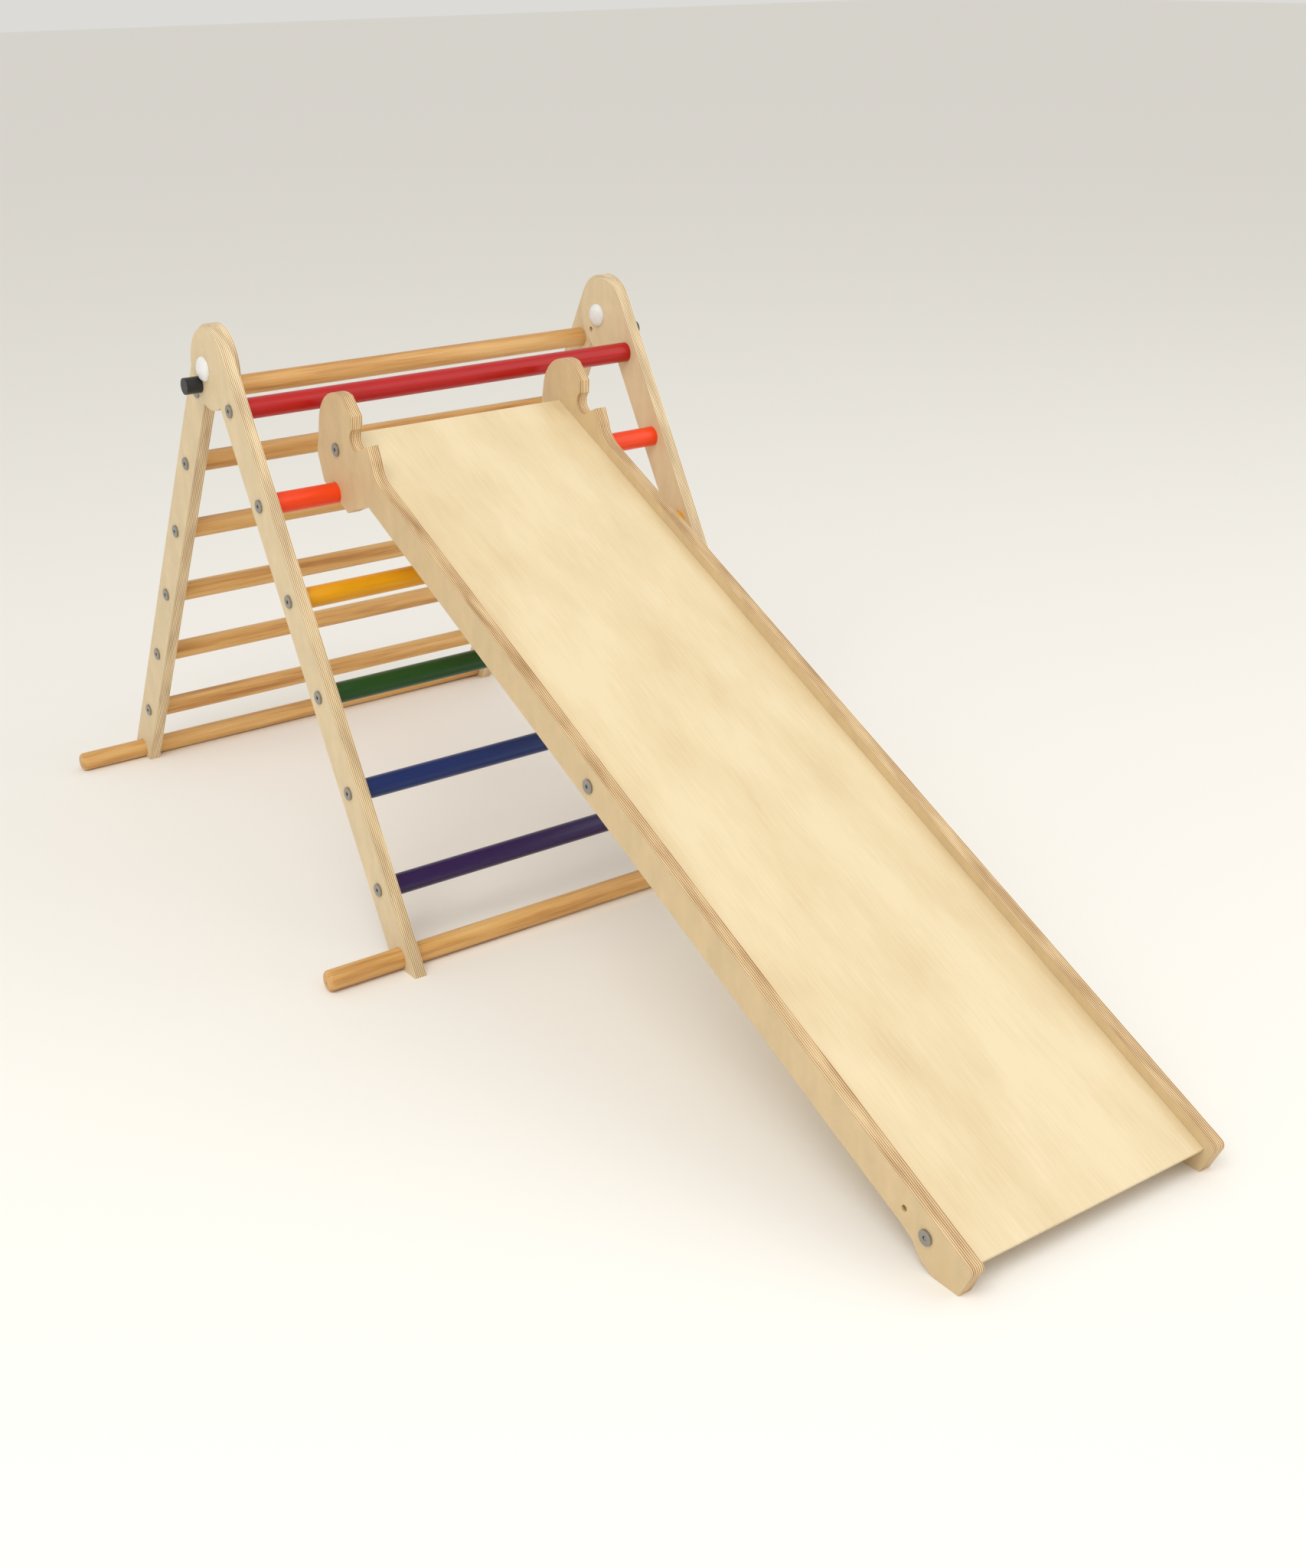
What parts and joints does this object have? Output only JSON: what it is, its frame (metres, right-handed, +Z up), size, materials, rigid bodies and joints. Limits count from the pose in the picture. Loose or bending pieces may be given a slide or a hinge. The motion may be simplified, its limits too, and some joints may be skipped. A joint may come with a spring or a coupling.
{
  "type": "climbing triangle with slide",
  "caption": "Folding wooden climbing triangle with coloured rungs on one side, plain rungs on the other, and a hook-on slide.",
  "frame": {"origin": "middle of the footprint, on the floor", "axes": "+X along the rungs, +Y from the slide towards the rear ladder, +Z up"},
  "size_m": [0.936, 1.9928, 0.8132],
  "materials": {
    "birch_ply": "satin",
    "slide_ply": "satin",
    "panel_ply": "satin",
    "pine": "satin",
    "zinc": "satin",
    "white_plastic": "gloss",
    "black_plastic": "satin",
    "red_paint": "satin paint",
    "orange_paint": "satin paint",
    "yellow_paint": "satin paint",
    "green_paint": "satin paint",
    "blue_paint": "satin paint",
    "purple_paint": "satin paint"
  },
  "bodies": {
    "front_ladder": {"front_left_rail": "birch_ply", "front_right_rail": "birch_ply", "front_rung_1": "red_paint", "front_left_bolt_1": "zinc", "front_right_bolt_1": "zinc", "front_rung_2": "orange_paint", "front_left_bolt_2": "zinc", "front_right_bolt_2": "zinc", "front_rung_3": "yellow_paint", "front_left_bolt_3": "zinc", "front_right_bolt_3": "zinc", "front_rung_4": "green_paint", "front_left_bolt_4": "zinc", "front_right_bolt_4": "zinc", "front_rung_5": "blue_paint", "front_left_bolt_5": "zinc", "front_right_bolt_5": "zinc", "front_rung_6": "purple_paint", "front_left_bolt_6": "zinc", "front_right_bolt_6": "zinc", "front_base_bar": "pine", "left_pivot_bolt": "white_plastic", "left_pivot_cap": "white_plastic", "right_pivot_bolt": "white_plastic", "right_pivot_cap": "white_plastic"},
    "rear_ladder": {"rear_left_rail": "birch_ply", "rear_right_rail": "birch_ply", "rear_rung_1": "pine", "rear_left_bolt_1": "zinc", "rear_right_bolt_1": "zinc", "rear_rung_2": "pine", "rear_left_bolt_2": "zinc", "rear_right_bolt_2": "zinc", "rear_rung_3": "pine", "rear_left_bolt_3": "zinc", "rear_right_bolt_3": "zinc", "rear_rung_4": "pine", "rear_left_bolt_4": "zinc", "rear_right_bolt_4": "zinc", "rear_rung_5": "pine", "rear_left_bolt_5": "zinc", "rear_right_bolt_5": "zinc", "rear_rung_6": "pine", "rear_left_bolt_6": "zinc", "rear_right_bolt_6": "zinc", "rear_base_bar": "pine"},
    "slide": {"slide_left_board": "slide_ply", "slide_left_bolt_1": "zinc", "slide_left_bolt_2": "zinc", "slide_left_bolt_3": "zinc", "slide_right_board": "slide_ply", "slide_right_bolt_1": "zinc", "slide_right_bolt_2": "zinc", "slide_right_bolt_3": "zinc", "slide_panel": "panel_ply", "slide_crossbar_1": "pine", "slide_crossbar_2": "pine", "slide_crossbar_3": "pine"},
    "left_knob": {"left_lock_knob": "black_plastic"},
    "right_knob": {"right_lock_knob": "black_plastic"}
  },
  "joints": [
    {"name": "fold", "type": "hinge", "parent": "front_ladder", "child": "rear_ladder", "pos_m": [0, 0.47912, 0.754], "axis": [1, 0, 0], "range_deg": [-55, 0]},
    {"name": "slide_tilt", "type": "hinge", "parent": "front_ladder", "child": "slide", "pos_m": [0, 0.33238, 0.58584], "axis": [-1, 0, 0], "range_deg": [0, 15]},
    {"name": "left_knob_turn", "type": "hinge", "parent": "front_ladder", "child": "left_knob", "pos_m": [-0.365, 0.49824, 0.72911], "axis": [-1, 0, 0], "continuous": true},
    {"name": "right_knob_turn", "type": "hinge", "parent": "rear_ladder", "child": "right_knob", "pos_m": [0.365, 0.46001, 0.72911], "axis": [1, 0, 0], "continuous": true}
  ]
}
